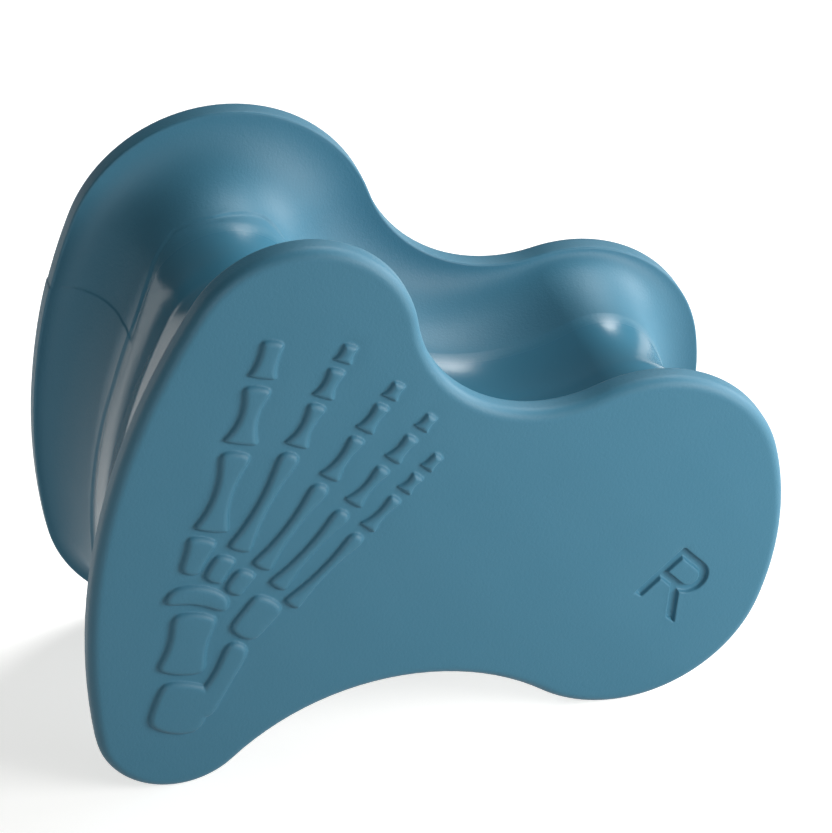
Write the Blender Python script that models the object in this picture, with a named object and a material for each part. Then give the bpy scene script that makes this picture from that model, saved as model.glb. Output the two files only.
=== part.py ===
"""Toe spreader: a one-piece silicone spool that is worn between two toes.

Two flange plates with a two-lobed outline stand upright, one in front (-Y) and one behind, and a
narrower waist joins them. One toe lies in the deep valley on top, the other in the long valley
underneath. The front plate carries a raised figure of the bones of a right foot and a side mark.
"""
import math
from collections import namedtuple

import bmesh
import bpy

# Driving dimensions, in metres
FLANGE_WIDTH = 0.046
FLANGE_HEIGHT = 0.038
SPOOL_DEPTH = 0.020
RIM_THICKNESS = 0.0017
FACE_FILLET = 0.0007
INNER_EDGE_RADIUS = 0.0004
FLARE_DEPTH = 0.0053
WAIST_DIP = 0.0004

FIGURE_LENGTH = 0.0288
FIGURE_TURN = math.radians(24)
GROOVE_WIDTH = 0.00040
GROOVE_DEPTH = 0.00040
BONE_RISE = 0.00008

MARK_HEIGHT = 0.0043
MARK_STROKE = 0.0006
MARK_DEPTH = 0.0003
MARK_TURN = math.radians(48)

LOBE_STEPS = 14
SIDE_STEPS = 8
FILLET_STEPS = 3
FLARE_STEPS = 7
WAIST_STEPS = 4
BONE_STEPS = 7
BOWL_STEPS = 8
# How quickly a bone swells towards its ends, and how square its ends are
BONE_SWELL = 2.5
BONE_SQUARENESS = 6
CUT_OVERRUN = 0.001

# A lobe is a circle. Its place across and its radius are shares of FLANGE_WIDTH. Its edge is the
# height of its top, or of its underside on the lower two, as a share of FLANGE_HEIGHT.
Lobe = namedtuple("Lobe", "across edge radius")

# Four lobes, clockwise seen from the front, and the radii of the arcs that join them, as shares
# of FLANGE_WIDTH. The two valleys are hollow and the two sides bulge.
Outline = namedtuple("Outline", "upper_left upper_right lower_right lower_left"
                                " top_valley right_side bottom_valley left_side")

FRONT_RIM = Outline(
    upper_left=Lobe(across=0.302, edge=1.000, radius=0.157),
    upper_right=Lobe(across=0.774, edge=0.660, radius=0.200),
    lower_right=Lobe(across=0.763, edge=0.000, radius=0.206),
    lower_left=Lobe(across=0.117, edge=0.000, radius=0.112),
    top_valley=0.190, right_side=0.450, bottom_valley=0.345, left_side=1.000)
BACK_RIM = Outline(
    upper_left=Lobe(across=0.288, edge=0.984, radius=0.222),
    upper_right=Lobe(across=0.791, edge=0.624, radius=0.213),
    lower_right=Lobe(across=0.780, edge=0.000, radius=0.217),
    lower_left=Lobe(across=0.222, edge=0.000, radius=0.209),
    top_valley=0.217, right_side=0.400, bottom_valley=0.228, left_side=0.950)
WAIST = Outline(
    upper_left=Lobe(across=0.260, edge=0.866, radius=0.112),
    upper_right=Lobe(across=0.793, edge=0.576, radius=0.100),
    lower_right=Lobe(across=0.774, edge=0.118, radius=0.109),
    lower_left=Lobe(across=0.139, edge=0.116, radius=0.078),
    top_valley=0.283, right_side=0.260, bottom_valley=0.435, left_side=0.913)

# The figure has its own frame, with its origin under the heel and its second axis along the foot.
# Every length in these two tables is in hundredths of FIGURE_LENGTH.
HEEL_ACROSS = 0.113
HEEL_UP = 0.122

# A ray is one metatarsal with the toe bones beyond it, in line, gap apart. It starts at across, up
# and leans to the right by lean degrees. The first toe has no middle bone.
Ray = namedtuple("Ray", "across up lean width metatarsal proximal middle distal gap")
RAYS = (
    Ray(-12.4, 51.5, -5.5, 7.4, 20.0, 14.0, 0.0, 9.0, 1.9),
    Ray(-4.8, 48.2, 4.4, 5.2, 25.6, 10.7, 7.2, 4.4, 1.7),
    Ray(1.6, 45.0, 13.0, 4.8, 23.4, 11.2, 7.1, 4.1, 1.8),
    Ray(6.9, 41.0, 18.8, 4.6, 22.8, 10.6, 6.9, 4.0, 2.2),
    Ray(11.8, 37.2, 21.5, 4.2, 22.0, 9.4, 4.8, 4.2, 2.0),
)

# Widths of each kind of bone at its base, waist and head, as shares of its ray's width
BoneKind = namedtuple("BoneKind", "base waist head")
METATARSAL = BoneKind(base=1.00, waist=0.54, head=1.00)
PROXIMAL = BoneKind(base=1.00, waist=0.50, head=0.84)
MIDDLE = BoneKind(base=0.94, waist=0.56, head=0.78)
DISTAL = BoneKind(base=0.80, waist=0.60, head=0.66)

# A tarsal runs from its base to its head, and bends to the right of that line.
Tarsal = namedtuple("Tarsal", "base_across base_up head_across head_up base waist head bend")
TARSALS = {
    "heel": Tarsal(-1.6, 0.0, -1.4, 13.2, base=9.0, waist=12.6, head=12.2, bend=0.0),
    "heel_neck": Tarsal(3.4, 8.0, 4.4, 25.4, base=4.4, waist=3.4, head=6.0, bend=1.4),
    "talus": Tarsal(-4.9, 15.0, -7.6, 31.0, base=12.0, waist=8.6, head=10.8, bend=0.0),
    "navicular": Tarsal(-15.4, 33.2, -1.6, 34.0, base=4.0, waist=5.0, head=3.2, bend=-2.0),
    "cuboid": Tarsal(4.2, 27.2, 7.2, 37.6, base=6.2, waist=7.4, head=7.6, bend=0.0),
    "medial_cuneiform": Tarsal(-13.1, 40.4, -13.2, 49.4, base=4.6, waist=5.2, head=6.8, bend=0.0),
    "intermediate_cuneiform": Tarsal(-7.4, 39.8, -6.4, 46.0, base=4.2, waist=4.2, head=4.6, bend=0.0),
    "lateral_cuneiform": Tarsal(-1.9, 37.6, -0.6, 43.2, base=3.6, waist=3.8, head=4.2, bend=0.0),
}

# The mark's strokes, as shares of MARK_HEIGHT from the foot of its stem, and its place on the
# plate as shares of the flange's width and height
MARK_ACROSS = 0.772
MARK_UP = 0.231
BOWL_REACH = 0.42
BOWL_FOOT = 0.48
LEG_TOP = 0.34
LEG_REACH = 0.80

SILICONE_COLOUR = (0.072, 0.205, 0.292, 1.0)
SILICONE_ROUGHNESS = 0.55


def clear_scene():
    """Remove every object of the open file."""
    for item in list(bpy.data.objects):
        bpy.data.objects.remove(item, do_unlink=True)


def silicone():
    """Matte blue silicone rubber."""
    material = bpy.data.materials.new("silicone_blue")
    material.use_nodes = True
    shader = material.node_tree.nodes["Principled BSDF"]
    shader.inputs["Base Color"].default_value = SILICONE_COLOUR
    shader.inputs["Roughness"].default_value = SILICONE_ROUGHNESS
    shader.inputs["Metallic"].default_value = 0.0
    return material


def sizes_of(outline):
    """Turn an outline's shares into circles (x, z, radius) and joining radii, in metres."""
    circles = []
    for lobe, is_upper in zip(outline[:4], (True, True, False, False)):
        radius = lobe.radius * FLANGE_WIDTH
        edge = lobe.edge * FLANGE_HEIGHT
        height = edge - radius if is_upper else edge + radius
        circles.append((lobe.across * FLANGE_WIDTH, height, radius))
    return circles, [radius * FLANGE_WIDTH for radius in outline[4:]]


def mixed(first, second, share):
    """The circles and joining radii that lie a share of the way from the first to the second."""
    circles = []
    for one, other in zip(first[0], second[0]):
        circles.append(tuple(a + (b - a) * share for a, b in zip(one, other)))
    radii = [a + (b - a) * share for a, b in zip(first[1], second[1])]
    return circles, radii


def joining_centre(first, second, radius, is_hollow):
    """Centre of the arc that touches two circles, outside them where the side is hollow."""
    x, z, first_radius = first
    to_x = second[0] - x
    to_z = second[1] - z
    sign = 1 if is_hollow else -1
    first_reach = radius + sign * first_radius
    second_reach = radius + sign * second[2]
    apart = math.hypot(to_x, to_z)
    along = (first_reach ** 2 - second_reach ** 2 + apart ** 2) / (2 * apart)
    aside = sign * math.sqrt(first_reach ** 2 - along ** 2)
    return x + (to_x * along - to_z * aside) / apart, z + (to_z * along + to_x * aside) / apart


def arc(centre, radius, start, end, is_clockwise, steps):
    """Points along an arc from the angle start to the angle end, the last one left out."""
    turn = (start - end) % math.tau if is_clockwise else (end - start) % math.tau
    if is_clockwise:
        turn = -turn
    angles = [start + turn * step / steps for step in range(steps)]
    return [(centre[0] + radius * math.cos(angle), centre[1] + radius * math.sin(angle)) for angle in angles]


def loop_points(sizes, inset):
    """The closed loop of an outline, moved inwards by inset: lobe, joining arc, lobe and so on."""
    circles, radii = sizes
    joins = []
    for index, radius in enumerate(radii):
        is_hollow = index % 2 == 0
        centre = joining_centre(circles[index], circles[(index + 1) % 4], radius, is_hollow)
        joins.append((centre, radius, is_hollow))
    points = []
    for index, (x, z, radius) in enumerate(circles):
        before, _, hollow_before = joins[index - 1]
        after, after_radius, hollow_after = joins[index]
        start = math.atan2(z - before[1], x - before[0]) + (math.pi if hollow_before else 0)
        end = math.atan2(z - after[1], x - after[0]) + (math.pi if hollow_after else 0)
        points += arc((x, z), radius - inset, start, end, True, LOBE_STEPS)
        following = circles[(index + 1) % 4]
        leave = math.atan2(z - after[1], x - after[0])
        arrive = math.atan2(following[1] - after[1], following[0] - after[0])
        shifted = after_radius + inset if hollow_after else after_radius - inset
        points += arc(after, shifted, leave, arrive, not hollow_after, SIDE_STEPS)
    return points


def flange_sections(rim, waist):
    """Sections (depth from the outer face, sizes, inset) from a flange's face down to the waist."""
    sections = []
    for step in range(FILLET_STEPS + 1):
        angle = math.pi / 2 * step / FILLET_STEPS
        sections.append((FACE_FILLET * (1 - math.cos(angle)), rim, FACE_FILLET * (1 - math.sin(angle))))
    wall_end = RIM_THICKNESS - INNER_EDGE_RADIUS
    for step in range(FILLET_STEPS):
        angle = math.pi / 2 * step / FILLET_STEPS
        depth = wall_end + INNER_EDGE_RADIUS * math.sin(angle)
        sections.append((depth, rim, INNER_EDGE_RADIUS * (1 - math.cos(angle))))
    for step in range(FLARE_STEPS + 1):
        angle = math.pi / 2 * step / FLARE_STEPS
        share = math.sin(angle)
        depth = RIM_THICKNESS + FLARE_DEPTH * (1 - math.cos(angle))
        sections.append((depth, mixed(rim, waist, share), INNER_EDGE_RADIUS * (1 - share)))
    return sections


def spool_mesh():
    """The whole spool as one closed mesh, its front face at Y = 0."""
    front = sizes_of(FRONT_RIM)
    back = sizes_of(BACK_RIM)
    waist = sizes_of(WAIST)
    waist_start = RIM_THICKNESS + FLARE_DEPTH
    waist_length = SPOOL_DEPTH - 2 * waist_start
    sections = flange_sections(front, waist)
    for step in range(1, WAIST_STEPS):
        share = step / WAIST_STEPS
        sections.append((waist_start + waist_length * share, waist, WAIST_DIP * math.sin(math.pi * share)))
    for depth, sizes, inset in reversed(flange_sections(back, waist)):
        sections.append((SPOOL_DEPTH - depth, sizes, inset))

    mesh = bmesh.new()
    rings = []
    for y, sizes, inset in sections:
        rings.append([mesh.verts.new((x, y, z)) for x, z in loop_points(sizes, inset)])
    for ring, following in zip(rings, rings[1:]):
        for index, vertex in enumerate(ring):
            mesh.faces.new((vertex, ring[index - 1], following[index - 1], following[index]))
    mesh.faces.new(rings[0])
    mesh.faces.new(rings[-1])
    bmesh.ops.recalc_face_normals(mesh, faces=mesh.faces)
    return mesh


def add_prism(mesh, points, near, far):
    """Add a straight-sided solid with the outline of the (x, z) points, from Y = near to Y = far."""
    front = [mesh.verts.new((x, near, z)) for x, z in points]
    back = [mesh.verts.new((x, far, z)) for x, z in points]
    faces = [mesh.faces.new(front), mesh.faces.new(back)]
    for index in range(len(points)):
        faces.append(mesh.faces.new((front[index], front[index - 1], back[index - 1], back[index])))
    bmesh.ops.recalc_face_normals(mesh, faces=faces)


def bone_outline(base, head, widths, bend, margin):
    """Outline of a bone between two points, full at both ends, slim between, and margin wider."""
    length = math.dist(base, head)
    along = ((head[0] - base[0]) / length, (head[1] - base[1]) / length)
    right = (along[1], -along[0])
    sides = ([], [])
    for step in range(BONE_STEPS + 1):
        share = (1 - math.cos(math.pi * step / BONE_STEPS)) / 2
        width = widths.waist
        width += (widths.base - widths.waist) * (1 - share) ** BONE_SWELL
        width += (widths.head - widths.waist) * share ** BONE_SWELL
        rounding = math.sqrt(1 - abs(2 * share - 1) ** BONE_SQUARENESS)
        reach = (length + 2 * margin) * share - margin
        middle = bend * 4 * share * (1 - share)
        half = (width / 2 + margin) * rounding
        for side, offset in zip(sides, (middle - half, middle + half)):
            side.append(tuple(base[axis] + along[axis] * reach + right[axis] * offset for axis in (0, 1)))
    return sides[0] + sides[1][-2:0:-1]


def bones():
    """Every bone of the figure as (base, head, widths, bend), in metres in the figure's frame."""
    unit = FIGURE_LENGTH / 100
    found = []
    for row in TARSALS.values():
        widths = BoneKind(row.base * unit, row.waist * unit, row.head * unit)
        base = (row.base_across * unit, row.base_up * unit)
        head = (row.head_across * unit, row.head_up * unit)
        found.append((base, head, widths, row.bend * unit))
    for ray in RAYS:
        direction = (math.sin(math.radians(ray.lean)), math.cos(math.radians(ray.lean)))
        reached = 0
        for kind, length in ((METATARSAL, ray.metatarsal), (PROXIMAL, ray.proximal),
                             (MIDDLE, ray.middle), (DISTAL, ray.distal)):
            if length:
                ends = []
                for distance in (reached, reached + length):
                    across = ray.across + direction[0] * distance
                    up = ray.up + direction[1] * distance
                    ends.append((across * unit, up * unit))
                widths = BoneKind(*(share * ray.width * unit for share in kind))
                found.append((ends[0], ends[1], widths, 0))
                reached += length + ray.gap
    return found


def on_plate(point, turn, across, up):
    """Turn a point clockwise and place it on the front plate, at shares of the flange's size."""
    x, z = point
    return (across * FLANGE_WIDTH + x * math.cos(turn) + z * math.sin(turn),
            up * FLANGE_HEIGHT - x * math.sin(turn) + z * math.cos(turn))


def figure_mesh(margin, near, far):
    """All bones as prisms, each margin wider all round."""
    mesh = bmesh.new()
    for base, head, widths, bend in bones():
        outline = bone_outline(base, head, widths, bend, margin)
        placed = [on_plate(point, FIGURE_TURN, HEEL_ACROSS, HEEL_UP) for point in outline]
        add_prism(mesh, placed, near, far)
    return mesh


def mark_mesh():
    """The side mark for the right foot: a stem, a bowl and a leg, each of one stroke's width."""
    half = MARK_STROKE / 2
    top = MARK_HEIGHT - half
    foot = BOWL_FOOT * MARK_HEIGHT
    stem = [(-half, 0), (half, 0), (half, MARK_HEIGHT), (-half, MARK_HEIGHT)]
    centre = (BOWL_REACH * MARK_HEIGHT, (top + foot) / 2)
    radius = (top - foot) / 2
    bowl = [(0, top + half)]
    bowl += arc(centre, radius + half, math.pi / 2, -math.pi / 2, True, BOWL_STEPS)
    bowl += [(centre[0], foot - half), (0, foot - half), (0, foot + half)]
    bowl += arc(centre, radius - half, -math.pi / 2, math.pi / 2, False, BOWL_STEPS)
    bowl += [(centre[0], top - half), (0, top - half)]
    leg_top = LEG_TOP * MARK_HEIGHT
    leg_end = LEG_REACH * MARK_HEIGHT
    slant = half * math.hypot(leg_end - leg_top, foot) / foot
    leg = [(leg_end - slant, 0), (leg_end + slant, 0), (leg_top + slant, foot), (leg_top - slant, foot)]
    mesh = bmesh.new()
    for outline in (stem, bowl, leg):
        placed = [on_plate(point, MARK_TURN, MARK_ACROSS, MARK_UP) for point in outline]
        add_prism(mesh, placed, -CUT_OVERRUN, MARK_DEPTH)
    return mesh


def add_object(name, mesh, parent, material=None):
    """Put a bmesh into the scene under a name. A mesh with no material is a cutter."""
    data = bpy.data.meshes.new(name)
    mesh.to_mesh(data)
    mesh.free()
    item = bpy.data.objects.new(name, data)
    bpy.context.scene.collection.objects.link(item)
    item.parent = parent
    if material:
        data.materials.append(material)
        data.shade_smooth()
        data.set_sharp_from_angle(angle=math.radians(35))
    else:
        item.hide_render = True
        item.display_type = "WIRE"
    return item


def add_boolean(item, tool, operation):
    """Cut a tool from an object, or join it on."""
    modifier = item.modifiers.new(tool.name, "BOOLEAN")
    modifier.object = tool
    modifier.operation = operation
    modifier.solver = "EXACT"
    modifier.use_self = True


def build():
    """The spool, centred over its footprint and standing on the lobes' rims."""
    clear_scene()
    spool = spool_mesh()
    xs = [vertex.co.x for vertex in spool.verts]
    zs = [vertex.co.z for vertex in spool.verts]
    place = bpy.data.objects.new("spreader_place", None)
    bpy.context.scene.collection.objects.link(place)
    place.location = (-(min(xs) + max(xs)) / 2, -(SPOOL_DEPTH - BONE_RISE) / 2, -min(zs))

    body = add_object("spreader_body", spool, place, silicone())
    grooves = add_object("figure_grooves", figure_mesh(GROOVE_WIDTH, -CUT_OVERRUN, GROOVE_DEPTH), place)
    raised = add_object("figure_bones", figure_mesh(0, -BONE_RISE, GROOVE_DEPTH + FACE_FILLET), place)
    mark = add_object("side_mark", mark_mesh(), place)
    add_boolean(body, grooves, "DIFFERENCE")
    add_boolean(body, raised, "UNION")
    add_boolean(body, mark, "DIFFERENCE")


build()
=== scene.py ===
import math
from collections import namedtuple

import bmesh
import bpy
import numpy as np
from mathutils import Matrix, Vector
from mathutils.geometry import delaunay_2d_cdt


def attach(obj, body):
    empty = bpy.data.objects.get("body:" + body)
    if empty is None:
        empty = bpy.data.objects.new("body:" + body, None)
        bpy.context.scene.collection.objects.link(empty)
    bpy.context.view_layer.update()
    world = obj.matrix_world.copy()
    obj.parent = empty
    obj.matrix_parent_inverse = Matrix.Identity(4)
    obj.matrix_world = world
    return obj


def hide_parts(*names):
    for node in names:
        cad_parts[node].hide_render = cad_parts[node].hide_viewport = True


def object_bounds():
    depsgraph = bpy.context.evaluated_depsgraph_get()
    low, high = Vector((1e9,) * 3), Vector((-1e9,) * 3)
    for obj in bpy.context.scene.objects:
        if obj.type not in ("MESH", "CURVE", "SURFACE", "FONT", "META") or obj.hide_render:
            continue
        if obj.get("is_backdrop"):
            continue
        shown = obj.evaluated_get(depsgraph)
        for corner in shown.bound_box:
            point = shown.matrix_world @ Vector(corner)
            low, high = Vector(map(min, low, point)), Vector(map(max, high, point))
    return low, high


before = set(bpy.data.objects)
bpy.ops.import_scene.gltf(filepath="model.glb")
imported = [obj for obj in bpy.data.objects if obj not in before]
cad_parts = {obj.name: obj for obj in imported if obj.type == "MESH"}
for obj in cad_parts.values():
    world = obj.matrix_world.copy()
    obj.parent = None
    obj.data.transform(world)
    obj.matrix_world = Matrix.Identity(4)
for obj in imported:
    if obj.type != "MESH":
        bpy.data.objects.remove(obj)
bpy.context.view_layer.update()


# THE SPOOL
# One piece of silicone rubber from a two-part mould: two thin four-lobed flanges, each flaring
# down into the waist that holds two toes apart. Both flanges' outer edges are rounded all round.
FLANGE_WIDTH = 0.046
FLANGE_HEIGHT = 0.038
SPOOL_DEPTH = 0.020
RIM_THICKNESS = 0.0017
FACE_FILLET = 0.0007
INNER_EDGE_RADIUS = 0.0004
BACK_EDGE_RADIUS = 0.00016
FLARE_DEPTH = 0.0053
WAIST_DIP = 0.0004
BONE_RISE = 0.00008

# A lobe's place across and its radius are shares of the width, and its outer edge is a share of
# the height. The last four values of an outline are the radii that join its lobes.
Lobe = namedtuple("Lobe", "across edge radius")
Outline = namedtuple("Outline", "upper_left upper_right lower_right lower_left "
                                "top_valley right_side bottom_valley left_side")
FRONT_RIM = Outline(
    Lobe(0.302, 1.000, 0.157), Lobe(0.774, 0.660, 0.200),
    Lobe(0.763, 0.000, 0.206), Lobe(0.117, 0.000, 0.112),
    top_valley=0.190, right_side=0.450, bottom_valley=0.345, left_side=1.000)
BACK_RIM = Outline(
    Lobe(0.288, 0.984, 0.222), Lobe(0.791, 0.624, 0.213),
    Lobe(0.780, 0.000, 0.217), Lobe(0.222, 0.000, 0.209),
    top_valley=0.217, right_side=0.400, bottom_valley=0.228, left_side=0.950)
WAIST = Outline(
    Lobe(0.260, 0.866, 0.112), Lobe(0.793, 0.576, 0.100),
    Lobe(0.774, 0.118, 0.109), Lobe(0.139, 0.116, 0.078),
    top_valley=0.283, right_side=0.260, bottom_valley=0.435, left_side=0.913)
LOBE_STEPS = 160
SIDE_STEPS = 96
LOOP_STEPS = 4 * (LOBE_STEPS + SIDE_STEPS)


def sizes_of(outline):
    """Turn an outline's shares into circles (x, z, radius) and joining radii, in metres."""
    circles = []
    for lobe, is_upper in zip(outline[:4], (True, True, False, False)):
        radius = lobe.radius * FLANGE_WIDTH
        edge = lobe.edge * FLANGE_HEIGHT
        height = edge - radius if is_upper else edge + radius
        circles.append((lobe.across * FLANGE_WIDTH, height, radius))
    return circles, [radius * FLANGE_WIDTH for radius in outline[4:]]


def mixed(first, second, share):
    """The circles and joining radii that lie a share of the way from the first to the second."""
    circles = []
    for one, other in zip(first[0], second[0]):
        circles.append(tuple(a + (b - a) * share for a, b in zip(one, other)))
    radii = [a + (b - a) * share for a, b in zip(first[1], second[1])]
    return circles, radii


def joining_centre(first, second, radius, is_hollow):
    """Centre of the arc that touches two circles, outside them where the side is hollow."""
    x, z, first_radius = first
    to_x = second[0] - x
    to_z = second[1] - z
    sign = 1 if is_hollow else -1
    first_reach = radius + sign * first_radius
    second_reach = radius + sign * second[2]
    apart = math.hypot(to_x, to_z)
    along = (first_reach ** 2 - second_reach ** 2 + apart ** 2) / (2 * apart)
    aside = sign * math.sqrt(first_reach ** 2 - along ** 2)
    return x + (to_x * along - to_z * aside) / apart, z + (to_z * along + to_x * aside) / apart


def arc(centre, radius, start, end, is_clockwise, steps):
    """Points along an arc from the angle start to the angle end, the last one left out."""
    turn = (start - end) % math.tau if is_clockwise else (end - start) % math.tau
    if is_clockwise:
        turn = -turn
    angles = start + turn * np.arange(steps) / steps
    return np.stack((centre[0] + radius * np.cos(angles), centre[1] + radius * np.sin(angles)), axis=1)


def loop_points(sizes, inset):
    """The closed loop of an outline, moved inwards by inset: lobe, joining arc, lobe and so on."""
    circles, radii = sizes
    joins = []
    for index, radius in enumerate(radii):
        is_hollow = index % 2 == 0
        centre = joining_centre(circles[index], circles[(index + 1) % 4], radius, is_hollow)
        joins.append((centre, radius, is_hollow))
    stretches = []
    for index, (x, z, radius) in enumerate(circles):
        before, _, hollow_before = joins[index - 1]
        after, after_radius, hollow_after = joins[index]
        start = math.atan2(z - before[1], x - before[0]) + (math.pi if hollow_before else 0)
        end = math.atan2(z - after[1], x - after[0]) + (math.pi if hollow_after else 0)
        stretches.append(arc((x, z), radius - inset, start, end, True, LOBE_STEPS))
        following = circles[(index + 1) % 4]
        leave = math.atan2(z - after[1], x - after[0])
        arrive = math.atan2(following[1] - after[1], following[0] - after[0])
        shifted = after_radius + inset if hollow_after else after_radius - inset
        stretches.append(arc(after, shifted, leave, arrive, not hollow_after, SIDE_STEPS))
    return np.concatenate(stretches)


FILLET_STEPS = 9
FLARE_STEPS = 26
WAIST_STEPS = 14


def flange_sections(rim, waist, edge_radius):
    """Sections (depth from the outer face, sizes, inset) from a flange's face down to the waist."""
    sections = []
    for step in range(FILLET_STEPS + 1):
        angle = math.pi / 2 * step / FILLET_STEPS
        sections.append((FACE_FILLET * (1 - math.cos(angle)), rim, FACE_FILLET * (1 - math.sin(angle))))
    wall_end = RIM_THICKNESS - edge_radius
    for step in range(FILLET_STEPS):
        angle = math.pi / 2 * step / FILLET_STEPS
        depth = wall_end + edge_radius * math.sin(angle)
        sections.append((depth, rim, edge_radius * (1 - math.cos(angle))))
    for step in range(FLARE_STEPS + 1):
        angle = math.pi / 2 * step / FLARE_STEPS
        share = math.sin(angle)
        depth = RIM_THICKNESS + FLARE_DEPTH * (1 - math.cos(angle))
        sections.append((depth, mixed(rim, waist, share), edge_radius * (1 - share)))
    return sections


def smooth_step(values, start, end):
    """0 before start, 1 after end, and a smooth rise between them."""
    share = np.clip((np.asarray(values, float) - start) / (end - start), 0, 1)
    return share * share * (3 - 2 * share)


front_sizes = sizes_of(FRONT_RIM)
back_sizes = sizes_of(BACK_RIM)
waist_sizes = sizes_of(WAIST)
WAIST_START = RIM_THICKNESS + FLARE_DEPTH
WAIST_LENGTH = SPOOL_DEPTH - 2 * WAIST_START
sections = flange_sections(front_sizes, waist_sizes, INNER_EDGE_RADIUS)
for step in range(1, WAIST_STEPS):
    share = step / WAIST_STEPS
    dip_here = WAIST_DIP * math.sin(math.pi * share)
    sections.append((WAIST_START + WAIST_LENGTH * share, waist_sizes, dip_here))
for depth, sizes, inset in reversed(flange_sections(back_sizes, waist_sizes, BACK_EDGE_RADIUS)):
    sections.append((SPOOL_DEPTH - depth, sizes, inset))
section_depths = np.array([section[0] for section in sections])
section_loops = [loop_points(sizes, inset) for _, sizes, inset in sections]

# Where the mould's side slide met the core, a parting line crosses the back flare's left side at
# one height. The columns of the mesh bend so that one of them follows it.
PARTING_HEIGHT = 0.0267
PARTING_STEP = 0.00006
PARTING_FADE = 30
PARTING_FIRST_DEPTH = SPOOL_DEPTH - 0.0088
PARTING_FULL_DEPTH = SPOOL_DEPTH - 0.0074
PARTING_CLEARANCE = 3
COLUMN_SPACING = 4
COLUMN_BEND = 230
PARTING_COLUMNS = (-2.2, -1.2, -0.6, -0.25, 0.0, 0.25, 0.6, 1.2, 2.2)


def crossing(loop):
    """Where the left side of a loop passes the parting line's height, in loop steps from its start."""
    steps = np.arange(-300, 120)
    return float(np.interp(PARTING_HEIGHT, loop[steps % LOOP_STEPS, 1], steps))


parting_place = crossing(section_loops[-1])
columns = np.arange(-LOOP_STEPS // 2, LOOP_STEPS // 2, COLUMN_SPACING, dtype=float)
columns = columns[np.abs(columns - parting_place) > PARTING_CLEARANCE]
columns = np.sort(np.concatenate((columns, parting_place + np.array(PARTING_COLUMNS))))
from_parting = columns - parting_place
bend_share = np.exp(-(from_parting / COLUMN_BEND) ** 2)
grid = np.zeros((len(sections), len(columns), 2))
for row, (depth, loop) in enumerate(zip(section_depths, section_loops)):
    on_back_flange = float(smooth_step(depth, PARTING_FIRST_DEPTH, PARTING_FULL_DEPTH))
    places = columns + (crossing(loop) - parting_place) * bend_share * on_back_flange
    ring = np.stack([np.interp(places, np.arange(LOOP_STEPS), loop[:, axis], period=LOOP_STEPS)
                     for axis in (0, 1)], axis=1)
    ahead = np.roll(ring, -1, axis=0) - np.roll(ring, 1, axis=0)
    outward = np.stack((-ahead[:, 1], ahead[:, 0]), axis=1)
    outward /= np.linalg.norm(outward, axis=1)[:, None]
    below = smooth_step(-from_parting, -0.3, 0.3) * smooth_step(from_parting, -PARTING_FADE, -2)
    grid[row] = ring + outward * (below * PARTING_STEP * on_back_flange)[:, None]

# A crease runs round the upper left lobe where the back flare meets the polished waist. Its depth
# from the front goes with the direction from the lobe's centre.
CREASE_COURSE = ((20, 15.6), (30, 15.3), (60, 14.3), (90, 13.7), (120, 13.9), (150, 12.7), (180, 12.1),
                 (210, 12.0), (240, 12.8), (265, 13.4))
CREASE_RINGS = (-1.5, -1.1, -0.8, -0.55, -0.36, -0.24, -0.16, -0.10, -0.05, 0.0, 0.05, 0.12, 0.25)
CREASE_DIP = ((-2.2, 0.0), (-1.0, 0.025), (-0.5, 0.07), (-0.22, 0.115), (-0.10, 0.10), (0.0, 0.03),
              (0.06, -0.012), (0.16, -0.012), (0.3, 0.0))
CREASE_REACH = 0.0034
RING_CLEARANCE = 0.00002

lobe_x, lobe_z, _ = waist_sizes[0][0]
waist_row = int(np.argmin(np.abs(section_depths - (SPOOL_DEPTH - WAIST_START))))
directions = np.degrees(np.arctan2(grid[waist_row, :, 1] - lobe_z, grid[waist_row, :, 0] - lobe_x)) % 360
course_angles, course_depths = np.array(CREASE_COURSE).T
crease_depths = np.interp(directions, course_angles, course_depths / 1000)
crease_strength = smooth_step(directions, 22, 60) * (1 - smooth_step(directions, 240, 262))
crease_nominal = SPOOL_DEPTH - WAIST_START
extra = crease_nominal + np.array(CREASE_RINGS) / 1000
kept = [depth for depth in section_depths
        if np.min(np.abs(extra - depth)) > RING_CLEARANCE or depth == crease_nominal]
ring_depths = np.unique(np.round(np.concatenate((kept, extra)), 8))
reach_share = np.exp(-((ring_depths - crease_nominal) / CREASE_REACH) ** 4)
dip_places, dip_sizes = np.array(CREASE_DIP).T / 1000

spool_rows = []
for column in range(len(columns)):
    shift = (crease_depths[column] - crease_nominal) * crease_strength[column]
    depths = ring_depths + shift * reach_share
    x = np.interp(depths, section_depths, grid[:, column, 0])
    z = np.interp(depths, section_depths, grid[:, column, 1])
    spool_rows.append(np.stack((x, depths, z), axis=1))
spool_points = np.stack(spool_rows, axis=1)
around = np.roll(spool_points, -1, axis=1) - np.roll(spool_points, 1, axis=1)
inward = np.stack((around[:, :, 2], np.zeros(around.shape[:2]), -around[:, :, 0]), axis=2)
inward /= np.linalg.norm(inward, axis=2)[:, :, None]
dip = np.interp(ring_depths - crease_nominal, dip_places, dip_sizes)[:, None] * crease_strength[None, :]
spool_points += inward * dip[:, :, None]

# THE FOOT FIGURE
# Low relief on the front flange: the bones of a right foot, each with a flat top that stands proud
# of the plate, and rounded shoulders. The same mould forms it with the plate.
FIGURE_LENGTH = 0.0288
FIGURE_TURN = math.radians(24)
HEEL_ACROSS = 0.113
HEEL_UP = 0.122

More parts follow.
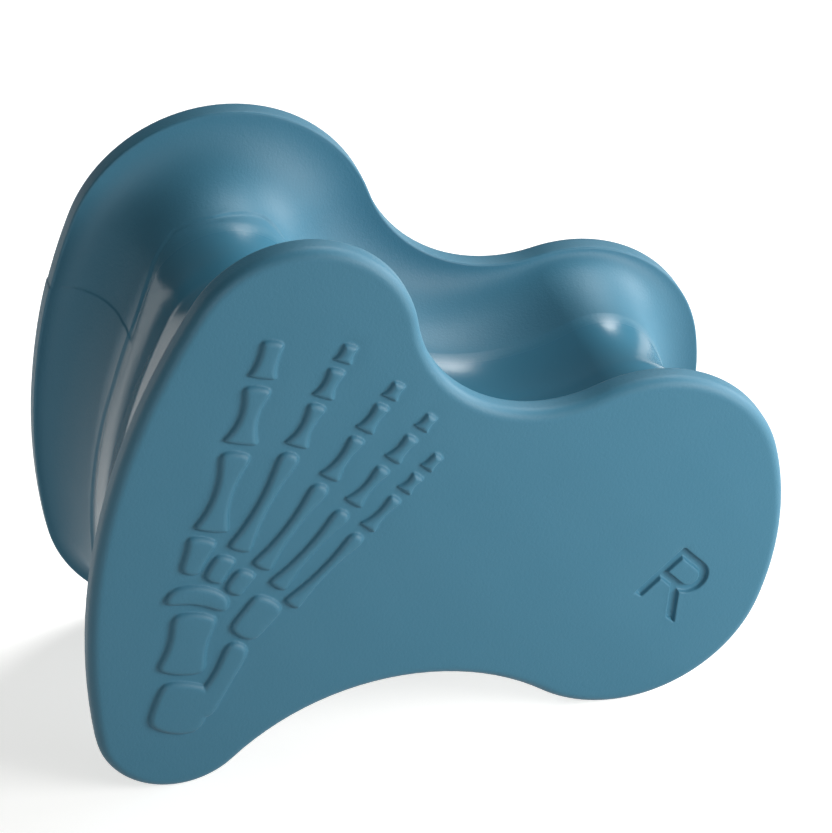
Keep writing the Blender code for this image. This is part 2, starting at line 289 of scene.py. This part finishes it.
# Lengths are in hundredths of FIGURE_LENGTH. A ray is one metatarsal with the toe bones beyond it.
Ray = namedtuple("Ray", "across up lean width metatarsal proximal middle distal gap")
RAYS = (
    Ray(-12.4, 51.5, -5.5, 7.4, 20.0, 14.0, 0.0, 9.0, 1.9),
    Ray(-4.8, 48.2, 4.4, 5.2, 25.6, 10.7, 7.2, 4.4, 1.7),
    Ray(1.6, 45.0, 13.0, 4.8, 23.4, 11.2, 7.1, 4.1, 1.8),
    Ray(6.9, 41.0, 18.8, 4.6, 22.8, 10.6, 6.9, 4.0, 2.2),
    Ray(11.8, 37.2, 21.5, 4.2, 22.0, 9.4, 4.8, 4.2, 2.0),
)
BoneKind = namedtuple("BoneKind", "base waist head")
METATARSAL = BoneKind(base=1.18, waist=0.46, head=1.16)
PROXIMAL = BoneKind(base=1.18, waist=0.46, head=1.00)
MIDDLE = BoneKind(base=1.06, waist=0.54, head=0.90)
DISTAL = BoneKind(base=0.90, waist=0.56, head=0.70)
Tarsal = namedtuple("Tarsal", "base_across base_up head_across head_up base waist head bend")
TARSALS = (
    Tarsal(-1.4, -0.4, -1.6, 13.4, base=10.6, waist=13.0, head=12.8, bend=0.0),
    Tarsal(2.0, 5.0, 4.6, 25.6, base=9.0, waist=4.8, head=6.6, bend=1.0),
    Tarsal(-5.2, 15.0, -7.6, 31.2, base=13.4, waist=8.2, head=11.8, bend=0.0),
    Tarsal(-15.6, 33.4, -1.4, 34.2, base=4.6, waist=5.0, head=4.2, bend=-1.8),
    Tarsal(4.0, 27.2, 7.2, 38.0, base=7.0, waist=7.8, head=8.4, bend=0.0),
    Tarsal(-13.0, 40.2, -13.2, 49.8, base=4.2, waist=5.2, head=8.0, bend=0.0),
    Tarsal(-7.2, 39.4, -6.2, 46.4, base=4.8, waist=4.8, head=5.0, bend=-0.4),
    Tarsal(-1.9, 37.4, -0.4, 43.8, base=4.4, waist=4.6, head=4.8, bend=-0.4),
)
BONE_STEPS = 30
BONE_SWELL = 4.2
HEAD_SQUARENESS = 10
BASE_SQUARENESS = 26
TARSAL_SQUARENESS = 7

# Depth of the surface beside a bone's edge, both in millimetres, with outside distances positive
BONE_PROFILE = ((-0.40, -0.310), (-0.31, -0.302), (-0.23, -0.282), (-0.16, -0.248), (-0.10, -0.205),
                (-0.05, -0.155), (0.0, -0.085), (0.03, -0.030), (0.06, 0.000), (0.16, 0.006), (0.30, 0.0))


def bone_outline(base, head, widths, bend, base_squareness, head_squareness):
    """Outline of a bone between two points, full at both ends and slim between."""
    length = math.dist(base, head)
    along = ((head[0] - base[0]) / length, (head[1] - base[1]) / length)
    right = (along[1], -along[0])
    sides = ([], [])
    for step in range(BONE_STEPS + 1):
        share = (1 - math.cos(math.pi * step / BONE_STEPS)) / 2
        width = widths.waist
        width += (widths.base - widths.waist) * (1 - share) ** BONE_SWELL
        width += (widths.head - widths.waist) * share ** BONE_SWELL
        squareness = base_squareness if share < 0.5 else head_squareness
        rounding = math.sqrt(1 - abs(2 * share - 1) ** squareness)
        middle = bend * 4 * share * (1 - share)
        for side, offset in zip(sides, (middle - width / 2 * rounding, middle + width / 2 * rounding)):
            side.append(tuple(base[axis] + along[axis] * length * share + right[axis] * offset
                              for axis in (0, 1)))
    return sides[0] + sides[1][-2:0:-1]


def on_plate(points, turn, across, up):
    """Turn points clockwise and place them on the front plate, at shares of the flange's size."""
    x, z = np.asarray(points, float).T
    return np.stack((across * FLANGE_WIDTH + x * math.cos(turn) + z * math.sin(turn),
                     up * FLANGE_HEIGHT - x * math.sin(turn) + z * math.cos(turn)), axis=1)


unit = FIGURE_LENGTH / 100
bone_shapes = []
for row in TARSALS:
    widths = BoneKind(row.base * unit, row.waist * unit, row.head * unit)
    base = (row.base_across * unit, row.base_up * unit)
    head = (row.head_across * unit, row.head_up * unit)
    outline = bone_outline(base, head, widths, row.bend * unit, TARSAL_SQUARENESS, TARSAL_SQUARENESS)
    bone_shapes.append(on_plate(outline, FIGURE_TURN, HEEL_ACROSS, HEEL_UP))
for ray in RAYS:
    direction = (math.sin(math.radians(ray.lean)), math.cos(math.radians(ray.lean)))
    reached = 0
    for kind, length in ((METATARSAL, ray.metatarsal), (PROXIMAL, ray.proximal),
                         (MIDDLE, ray.middle), (DISTAL, ray.distal)):
        if not length:
            continue
        ends = []
        for distance in (reached, reached + length):
            ends.append(((ray.across + direction[0] * distance) * unit,
                         (ray.up + direction[1] * distance) * unit))
        widths = BoneKind(*(share * ray.width * unit for share in kind))
        outline = bone_outline(ends[0], ends[1], widths, 0, BASE_SQUARENESS, HEAD_SQUARENESS)
        bone_shapes.append(on_plate(outline, FIGURE_TURN, HEEL_ACROSS, HEEL_UP))
        reached += length + ray.gap

# THE SIDE MARK
# A plain sunk capital in strokes of one width, cut into the mould to tell a right spreader from a
# left one. It has square ends, a flat floor and edges that are barely rounded.
MARK_HEIGHT = 0.0043
MARK_STROKE = 0.0006
MARK_TURN = math.radians(48)
MARK_ACROSS = 0.772
MARK_UP = 0.231
BOWL_REACH = 0.42
BOWL_FOOT = 0.48
LEG_TOP = 0.34
LEG_REACH = 0.80
MARK_PROFILE = ((-0.30, 0.300), (-0.12, 0.298), (-0.07, 0.275), (-0.03, 0.200), (0.0, 0.100), (0.03, 0.035),
                (0.07, 0.006), (0.14, 0.0))

half_stroke = MARK_STROKE / 2
bowl_top = MARK_HEIGHT - half_stroke
bowl_foot = BOWL_FOOT * MARK_HEIGHT
bowl_centre = (BOWL_REACH * MARK_HEIGHT, (bowl_top + bowl_foot) / 2)
bowl_radius = (bowl_top - bowl_foot) / 2
bowl = [(0, bowl_top + half_stroke)]
bowl += arc(bowl_centre, bowl_radius + half_stroke, math.pi / 2, -math.pi / 2, True, 30).tolist()
bowl += [(bowl_centre[0], bowl_foot - half_stroke), (0, bowl_foot - half_stroke),
         (0, bowl_foot + half_stroke)]
bowl += arc(bowl_centre, bowl_radius - half_stroke, -math.pi / 2, math.pi / 2, False, 30).tolist()
bowl += [(bowl_centre[0], bowl_top - half_stroke), (0, bowl_top - half_stroke)]
stem = [(-half_stroke, 0), (half_stroke, 0), (half_stroke, MARK_HEIGHT), (-half_stroke, MARK_HEIGHT)]
leg_top = LEG_TOP * MARK_HEIGHT
leg_end = LEG_REACH * MARK_HEIGHT
slant = half_stroke * math.hypot(leg_end - leg_top, bowl_foot) / bowl_foot
leg = [(leg_end - slant, 0), (leg_end + slant, 0),
       (leg_top + slant, bowl_foot), (leg_top - slant, bowl_foot)]
mark_shapes = [on_plate(stroke, MARK_TURN, MARK_ACROSS, MARK_UP) for stroke in (stem, bowl, leg)]

# THE FRONT PLATE'S SURFACE
# The flat of the front flange with both reliefs in it, as one skin that ends on the rounded
# edge's first ring. Its points follow the edges of the relief and are sparse elsewhere.
EDGE_POINT_SPACING = 0.00011
PLATE_GRID = 0.00055
RELIEF_REACH = 0.0009
SIDE_PROBE = 2e-5
PLACE_TOLERANCE = 1.2e-5
MERGE_GRID = 3.5e-5
RING_INSET = 0.00012
RING_CLEAR = 0.0003
BONE_BAND_MIDDLE = 0.0003
BONE_BAND_REACH = 0.00055
MARK_CLEAR = 0.0002
PLATE_WAVE = 0.000012
WAVE_START = 0.0002
WAVE_FULL = 0.0028


def distance_to(points, shapes, reach):
    """Signed distance from each point to the nearest of the shapes, negative inside, up to reach."""
    nearest = np.full(len(points), reach)
    for shape in shapes:
        low = shape.min(axis=0) - reach
        high = shape.max(axis=0) + reach
        near = np.flatnonzero(np.all((points > low) & (points < high), axis=1))
        if not len(near):
            continue
        side = np.roll(shape, -1, axis=0) - shape
        is_real = np.linalg.norm(side, axis=1) > 1e-9
        start = shape[is_real]
        side = side[is_real]
        away = points[near][:, None, :] - start[None]
        share = np.clip((away * side).sum(axis=2) / (side * side).sum(axis=1), 0, 1)
        distance = np.linalg.norm(away - share[:, :, None] * side, axis=2).min(axis=1)
        end = start + side
        height = points[near][:, None, 1]
        straddles = (start[None, :, 1] > height) != (end[None, :, 1] > height)
        rise = np.where(side[:, 1] == 0, 1e-12, side[:, 1])
        cross_x = start[None, :, 0] + (height - start[None, :, 1]) / rise * side[None, :, 0]
        inside = (straddles & (points[near][:, None, 0] < cross_x)).sum(axis=1) % 2 == 1
        nearest[near] = np.minimum(nearest[near], np.where(inside, -distance, distance))
    return nearest


def points_beside(shape, shapes, distances):
    """Points along a shape's edge at each distance from it, where no other shape is nearer."""
    following = np.roll(shape, -1, axis=0)
    edge_points = []
    normals = []
    for start, end in zip(shape, following):
        length = np.linalg.norm(end - start)
        if length < 1e-9:
            continue
        pieces = max(1, round(length / EDGE_POINT_SPACING))
        normal = np.array((end[1] - start[1], start[0] - end[0])) / length
        for piece in range(pieces):
            edge_points.append(start + (end - start) * (piece + 0.5) / pieces)
            normals.append(normal)
    edge_points = np.array(edge_points)
    normals = np.array(normals)
    probe = edge_points + normals * SIDE_PROBE
    if np.mean(distance_to(probe, [shape], 1e-3) < 0) > 0.5:
        normals = -normals
    found = []
    for distance in distances:
        moved = edge_points + normals * distance
        real = distance_to(moved, shapes, RELIEF_REACH)
        found.append(moved[np.abs(real - distance) < PLACE_TOLERANCE])
    return np.concatenate(found)


bone_edges, bone_heights = np.array(BONE_PROFILE).T / 1000
mark_edges, mark_heights = np.array(MARK_PROFILE).T / 1000
plate_parts = [points_beside(shape, bone_shapes, bone_edges) for shape in bone_shapes]
plate_parts += [points_beside(shape, mark_shapes, mark_edges) for shape in mark_shapes]
relief_points = np.concatenate(plate_parts)
_, firsts = np.unique(np.round(relief_points / MERGE_GRID), axis=0, return_index=True)
relief_points = relief_points[np.sort(firsts)]

plate_ring = spool_points[0][:, (0, 2)]
inner_ring = loop_points(front_sizes, FACE_FILLET + RING_INSET)[::COLUMN_SPACING]
low = plate_ring.min(axis=0)
high = plate_ring.max(axis=0)
across, up = np.meshgrid(np.arange(low[0], high[0], PLATE_GRID), np.arange(low[1], high[1], PLATE_GRID))
plate_points = np.stack((across.ravel(), up.ravel()), axis=1)
plate_points[:, 0] += np.repeat(np.arange(across.shape[0]) % 2 * PLATE_GRID / 2, across.shape[1])
plate_points = plate_points[distance_to(plate_points, [inner_ring], 0.002) < -RING_CLEAR]
from_bones = distance_to(plate_points, bone_shapes, RELIEF_REACH)
plate_points = plate_points[np.abs(from_bones - BONE_BAND_MIDDLE) > BONE_BAND_REACH]
plate_points = plate_points[distance_to(plate_points, mark_shapes, 0.002) > MARK_CLEAR]

ring_count = len(plate_ring)
flat_points = np.concatenate((plate_ring, inner_ring, relief_points, plate_points))
ring_edges = [(index, (index + 1) % ring_count) for index in range(ring_count)]
skin = delaunay_2d_cdt([Vector(point) for point in flat_points * 1000], ring_edges, [], 1, 1e-5)
skin_places = np.array(skin[0]) / 1000
skin_origins = [origins[0] if origins else None for origins in skin[3]]

sink = np.interp(distance_to(skin_places, bone_shapes, RELIEF_REACH), bone_edges, bone_heights)
sink += np.interp(distance_to(skin_places, mark_shapes, RELIEF_REACH), mark_edges, mark_heights)
from_rim = -distance_to(skin_places, [plate_ring], 0.003)
wave = np.sin(skin_places[:, 0] * 410 + 1.3) * np.sin(skin_places[:, 1] * 530 + 0.4)
wave += 0.6 * np.sin(skin_places[:, 0] * 930 + skin_places[:, 1] * 640)
sink += wave * PLATE_WAVE * smooth_step(from_rim, WAVE_START, WAVE_FULL) * (np.abs(sink) < 1e-6)

# The spool's rings, the front skin and the flat back become one closed mesh.
shift_x = -(grid[:, :, 0].min() + grid[:, :, 0].max()) / 2
shift_z = -grid[:, :, 1].min()
place = np.array((shift_x, -(SPOOL_DEPTH - BONE_RISE) / 2, shift_z))
vertices = list(spool_points.reshape(-1, 3))
faces = []
for row in range(len(ring_depths) - 1):
    here = row * ring_count
    beyond = here + ring_count
    for index in range(ring_count):
        following = (index + 1) % ring_count
        faces.append((here + index, beyond + index, beyond + following, here + following))

skin_numbers = []
for place_on_skin, origin, depth in zip(skin_places, skin_origins, sink):
    if origin is not None and origin < ring_count:
        skin_numbers.append(origin)
    else:
        skin_numbers.append(len(vertices))
        vertices.append(np.array((place_on_skin[0], depth, place_on_skin[1])))
faces += [tuple(skin_numbers[number] for number in face) for face in skin[2]]

last = (len(ring_depths) - 1) * ring_count
BACK_RING_INSET = 0.00015
back_ring = loop_points(back_sizes, FACE_FILLET + BACK_RING_INSET)
back_inner = np.stack([np.interp(columns, np.arange(LOOP_STEPS), back_ring[:, axis], period=LOOP_STEPS)
                       for axis in (0, 1)], axis=1)
first_inner = len(vertices)
for x, z in back_inner:
    vertices.append(np.array((x, SPOOL_DEPTH, z)))
for index in range(ring_count):
    following = (index + 1) % ring_count
    faces.append((last + index, first_inner + index, first_inner + following, last + following))
faces.append(tuple(first_inner + index for index in range(ring_count)))

spool_data = bpy.data.meshes.new("silicone_spool")
spool_data.from_pydata([tuple(point + place) for point in vertices], [], faces)
spool_data.validate()
shell = bmesh.new()
shell.from_mesh(spool_data)
bmesh.ops.recalc_face_normals(shell, faces=shell.faces)
shell.to_mesh(spool_data)
open_edges = sum(1 for edge in shell.edges if len(edge.link_faces) != 2)
print("spool:", len(spool_data.vertices), "points,", len(spool_data.polygons), "faces,",
      open_edges, "open edges")
shell.free()
spool_data.shade_smooth()
spool = bpy.data.objects.new("silicone_spool", spool_data)
bpy.context.scene.collection.objects.link(spool)


# The rubber is through-coloured. The mould's flanges were spark-eroded, which leaves a fine matte
# grain, and its waist was polished, which leaves the rubber glossy there.
RUBBER_BLUE = (0.039, 0.158, 0.236, 1.0)
RUBBER_PALE = (0.058, 0.186, 0.268, 1.0)
PLATE_ROUGHNESS = 0.52
WAIST_ROUGHNESS = 0.20

rubber = bpy.data.materials.new("silicone_rubber")
rubber.use_nodes = True
nodes = rubber.node_tree.nodes
links = rubber.node_tree.links
shader = nodes["Principled BSDF"]
coordinates = nodes.new("ShaderNodeTexCoord")

clouds = nodes.new("ShaderNodeTexNoise")
clouds.inputs["Scale"].default_value = 140
clouds.inputs["Detail"].default_value = 3
links.new(coordinates.outputs["Object"], clouds.inputs["Vector"])

tint = nodes.new("ShaderNodeMix")
tint.data_type = "RGBA"
tint.inputs["A"].default_value = RUBBER_BLUE
tint.inputs["B"].default_value = RUBBER_PALE
tint_share = nodes.new("ShaderNodeMapRange")
tint_share.inputs["From Min"].default_value = 0.3
tint_share.inputs["From Max"].default_value = 0.9
tint_share.inputs["To Max"].default_value = 0.22
links.new(clouds.outputs["Fac"], tint_share.inputs["Value"])
links.new(tint_share.outputs["Result"], tint.inputs["Factor"])
links.new(tint.outputs["Result"], shader.inputs["Base Color"])

parts = nodes.new("ShaderNodeSeparateXYZ")
links.new(coordinates.outputs["Object"], parts.inputs["Vector"])
polish = nodes.new("ShaderNodeMapRange")
polish.interpolation_type = "SMOOTHSTEP"
polish.inputs["From Min"].default_value = 0.0034
polish.inputs["From Max"].default_value = 0.0016
links.new(parts.outputs["Y"], polish.inputs["Value"])
front_stop = nodes.new("ShaderNodeMapRange")
front_stop.interpolation_type = "SMOOTHSTEP"
front_stop.inputs["From Min"].default_value = -0.0080
front_stop.inputs["From Max"].default_value = -0.0070
links.new(parts.outputs["Y"], front_stop.inputs["Value"])
polished = nodes.new("ShaderNodeMath")
polished.operation = "MULTIPLY"
links.new(polish.outputs["Result"], polished.inputs[0])
links.new(front_stop.outputs["Result"], polished.inputs[1])
roughness = nodes.new("ShaderNodeMapRange")
roughness.inputs["To Min"].default_value = PLATE_ROUGHNESS
roughness.inputs["To Max"].default_value = WAIST_ROUGHNESS
links.new(polished.outputs["Value"], roughness.inputs["Value"])
links.new(roughness.outputs["Result"], shader.inputs["Roughness"])

grain = nodes.new("ShaderNodeTexNoise")
grain.inputs["Scale"].default_value = 5200
grain.inputs["Detail"].default_value = 4
grain.inputs["Roughness"].default_value = 0.65
links.new(coordinates.outputs["Object"], grain.inputs["Vector"])
grain_share = nodes.new("ShaderNodeMapRange")
grain_share.inputs["To Min"].default_value = 1.0
grain_share.inputs["To Max"].default_value = 0.12
links.new(polished.outputs["Value"], grain_share.inputs["Value"])
relief = nodes.new("ShaderNodeBump")
relief.inputs["Distance"].default_value = 0.00002
links.new(grain_share.outputs["Result"], relief.inputs["Strength"])
links.new(grain.outputs["Fac"], relief.inputs["Height"])
links.new(relief.outputs["Normal"], shader.inputs["Normal"])
shader.inputs["IOR"].default_value = 1.41
spool_data.materials.append(rubber)

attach(spool, "root")
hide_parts("spreader_body")

# THE FLOOR AND THE LIGHT
# A plain near-white table top. A soft box stands near in front on the right, and daylight comes low
# from the right, with a faint fill on the left and a higher light from behind on the right.
floor_data = bpy.data.meshes.new("floor")
floor_data.from_pydata([(-2, -2, 0), (2, -2, 0), (2, 2, 0), (-2, 2, 0)], [], [(0, 1, 2, 3)])
floor = bpy.data.objects.new("floor", floor_data)
bpy.context.scene.collection.objects.link(floor)
floor_paint = bpy.data.materials.new("floor_paint")
floor_paint.use_nodes = True
floor_shader = floor_paint.node_tree.nodes["Principled BSDF"]
floor_shader.inputs["Base Color"].default_value = (0.78, 0.78, 0.775, 1)
floor_shader.inputs["Roughness"].default_value = 0.8
floor_shader.inputs["Emission Color"].default_value = (1.0, 1.0, 0.98, 1)
floor_shader.inputs["Emission Strength"].default_value = 0.62
floor_data.materials.append(floor_paint)
floor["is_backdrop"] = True
floor.visible_diffuse = False

LIGHT_BREADTH = 25


def soft_light(name, azimuth, elevation, power):
    """A broad, distant soft light. Azimuth is in degrees from the front towards the right."""
    lamp = bpy.data.lights.new(name, "SUN")
    lamp.angle = math.radians(LIGHT_BREADTH)
    lamp.energy = power
    item = bpy.data.objects.new(name, lamp)
    turn = math.radians(azimuth)
    rise = math.radians(elevation)
    towards = Vector((math.sin(turn) * math.cos(rise), -math.cos(turn) * math.cos(rise), math.sin(rise)))
    item.rotation_euler = towards.to_track_quat("Z", "Y").to_euler()
    bpy.context.scene.collection.objects.link(item)


soft_light("window_right", 100, 13, 2.40)
soft_light("window_left", 330, 14, 0.75)
soft_light("ceiling_light", 128, 44, 1.90)

# The soft box is near, so the plate fades towards its left.
box_data = bpy.data.lights.new("soft_box", "AREA")
box_data.size = 0.07
box_data.energy = 0.19
soft_box = bpy.data.objects.new("soft_box", box_data)
soft_box.location = (0.0966, -0.0810, 0.0510)
from_plate = soft_box.location - Vector((0.0, -0.0100, 0.0180))
soft_box.rotation_euler = from_plate.to_track_quat("Z", "Y").to_euler()
soft_box.visible_camera = False
bpy.context.scene.collection.objects.link(soft_box)

world = bpy.data.worlds.new("studio")
world.use_nodes = True
world.node_tree.nodes["Background"].inputs["Color"].default_value = (1.0, 1.0, 1.0, 1)
world.node_tree.nodes["Background"].inputs["Strength"].default_value = 0.12
bpy.context.scene.world = world
bpy.context.scene.view_settings.view_transform = "Standard"

camera_data = bpy.data.cameras.new("camera")
camera_data.sensor_width = 36
camera_data.sensor_fit = "HORIZONTAL"
camera_data.lens = 125.5
camera_data.clip_start = 0.01
camera = bpy.data.objects.new("camera", camera_data)
camera.location = (-0.04231, -0.14595, 0.12331)
view = Vector((-0.00244, -0.00996, 0.02547)) - camera.location
camera.rotation_euler = view.to_track_quat("-Z", "Y").to_euler()
bpy.context.scene.collection.objects.link(camera)
bpy.context.scene.camera = camera

low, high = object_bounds()
